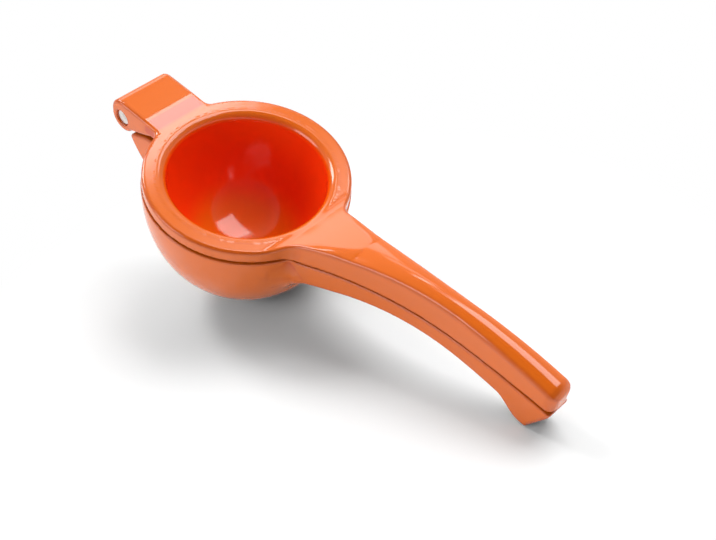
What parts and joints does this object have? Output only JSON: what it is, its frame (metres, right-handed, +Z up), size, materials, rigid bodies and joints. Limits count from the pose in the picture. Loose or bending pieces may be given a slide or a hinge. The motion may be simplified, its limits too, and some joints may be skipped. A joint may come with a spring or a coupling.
{
  "type": "hinged lemon squeezer",
  "caption": "Hand-held hinged citrus press with a ring-rimmed press cup, a deep strainer bowl with drain holes and two hollow arched handles, cast metal in orange enamel, hinged on a steel pin",
  "frame": {"origin": "middle of the flat on the underside of the bowl, where the press rests on the table", "axes": "+X from the bowl towards the handles' ends, +Z up, Y along the hinge pin; the press lies as it rests, on the bowl and the heel of the lower handle"},
  "size_m": [0.2114, 0.0806, 0.0749],
  "materials": {
    "enamel": "glossy enamel with a slight orange peel",
    "pin_steel": "plain turned steel"
  },
  "bodies": {
    "bowl_body": {"strainer_bowl": "enamel"},
    "press_body": {"upper_press": "enamel", "hinge_pin": "pin_steel"}
  },
  "joints": [
    {"name": "press_hinge", "type": "hinge", "parent": "bowl_body", "child": "press_body", "pos_m": [-0.05367, 0, 0.06681], "axis": [0, -1, 0], "range_deg": [0, 120]}
  ]
}
